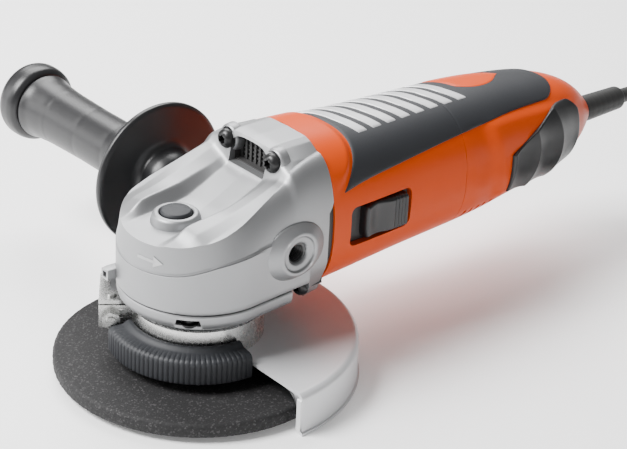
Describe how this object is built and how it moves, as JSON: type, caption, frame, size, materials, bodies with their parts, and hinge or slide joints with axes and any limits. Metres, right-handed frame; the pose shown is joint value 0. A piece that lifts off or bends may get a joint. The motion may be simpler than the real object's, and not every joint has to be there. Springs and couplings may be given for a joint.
{
  "type": "angle grinder",
  "caption": "Corded angle grinder with bevel gear head, half guard, depressed-centre disc, side handle, slide switch, spindle lock and coiled mains lead.",
  "frame": {"origin": "on the spindle axis at the outer face of the lock nut, in the plane of the two spanner holes' mouths", "axes": "+Z along the spindle, from the disc towards the gear case; +X along the motor axis, from the spindle towards the mains lead; +Y towards the side handle"},
  "size_m": [0.3672, 0.2855, 0.0945],
  "materials": {
    "cast_alloy": "die-cast alloy with a fine silver lacquer",
    "orange_plastic": "satin moulded orange nylon",
    "soft_grip": "overmoulded charcoal soft grip",
    "black_plastic": "black glass-filled nylon",
    "inner_plastic": "plain dark moulding",
    "guard_paint": "silver paint on pressed steel",
    "zinc_steel": "zinc plated",
    "black_screw": "black oxide",
    "machined_steel": "ground and turned",
    "abrasive": "bonded aluminium oxide grit",
    "laminations": "stacked silicon steel",
    "copper": "enamelled copper",
    "bronze": "bright",
    "carbon": "pressed carbon",
    "bush_rubber": "moulded",
    "cord_sheath": "black rubber sheath"
  },
  "bodies": {
    "frame": {"air_baffle": "black_plastic", "bearing_bush": "bush_rubber", "bearing_flange": "cast_alloy", "brush_carrier": "inner_plastic", "brush_holders": "bronze", "brush_springs": "machined_steel", "capacitor": "inner_plastic", "coil_tie": "cord_sheath", "cord_clamp": "inner_plastic", "cord_coil": "cord_sheath", "cord_inner_end": "cord_sheath", "cord_lead": "cord_sheath", "field_coils": "copper", "flange_screws": "black_screw", "front_bearing": "machined_steel", "gear_case": "cast_alloy", "gear_case_screws": "black_screw", "grip_pad_left": "soft_grip", "grip_pad_right": "soft_grip", "handle_end_cap": "black_plastic", "handle_grip": "black_plastic", "handle_stud": "zinc_steel", "lock_spring": "machined_steel", "motor_housing": "orange_plastic", "plug_body": "cord_sheath", "plug_pins": "bronze", "rear_bearing": "machined_steel", "rear_cover": "orange_plastic", "rear_cover_screw": "black_screw", "spindle_bearing_outer": "machined_steel", "stator_core": "laminations", "strain_relief": "black_plastic", "switch_body": "inner_plastic", "top_panel_front": "soft_grip", "top_panel_rear": "soft_grip", "upper_bush": "bronze"},
    "spindle": {"spindle": "machined_steel", "crown_gear": "machined_steel", "spindle_bearing_inner": "machined_steel", "inner_flange": "machined_steel", "lock_nut": "machined_steel", "grinding_disc": "abrasive"},
    "armature": {"armature_shaft": "machined_steel", "armature_core": "laminations", "armature_windings": "copper", "commutator": "copper", "cooling_fan": "inner_plastic", "pinion_gear": "machined_steel"},
    "spindle_lock": {"lock_button": "black_plastic", "lock_pin": "machined_steel"},
    "guard": {"guard_shell": "guard_paint", "guard_band": "zinc_steel", "front_deflector": "black_plastic", "clamp_bolt": "zinc_steel", "clamp_nut": "zinc_steel"},
    "lever": {"guard_lever": "zinc_steel"},
    "switch": {"switch_slider": "black_plastic", "switch_rod": "inner_plastic"},
    "brush_left": {"brush_left": "carbon"},
    "brush_right": {"brush_right": "carbon"}
  },
  "joints": [
    {"name": "spindle_spin", "type": "hinge", "parent": "frame", "child": "spindle", "pos_m": [0, 0, 0], "axis": [0, 0, 1], "continuous": true},
    {"name": "armature_spin", "type": "hinge", "parent": "frame", "child": "armature", "pos_m": [0.05, 0, 0.057], "axis": [1, 0, 0], "continuous": true},
    {"name": "spindle_lock_press", "type": "slide", "parent": "frame", "child": "spindle_lock", "axis": [0, 0, -1], "range_m": [0, 0.003], "stiffness_N_per_m": 600, "springref_m": -0.001, "deforming": ["lock_spring"]},
    {"name": "guard_turn", "type": "hinge", "parent": "frame", "child": "guard", "pos_m": [0, 0, 0.02], "axis": [0, 0, 1], "range_deg": [-90, 90]},
    {"name": "guard_lever_open", "type": "hinge", "parent": "guard", "child": "lever", "pos_m": [-0.02715, 0.02046, 0.0287], "axis": [0, 0, 1], "range_deg": [0, 75]},
    {"name": "switch_slide", "type": "slide", "parent": "frame", "child": "switch", "axis": [-1, 0, 0], "range_m": [0, 0.0065]},
    {"name": "brush_left_feed", "type": "slide", "parent": "frame", "child": "brush_left", "axis": [0, 1, 0], "range_m": [0, 0.002], "stiffness_N_per_m": 300, "springref_m": -0.001},
    {"name": "brush_right_feed", "type": "slide", "parent": "frame", "child": "brush_right", "axis": [0, -1, 0], "range_m": [0, 0.002], "stiffness_N_per_m": 300, "springref_m": -0.001}
  ],
  "couplings": [
    {"joint": "armature_spin", "follows": "spindle_spin", "ratio": 3.3636}
  ]
}
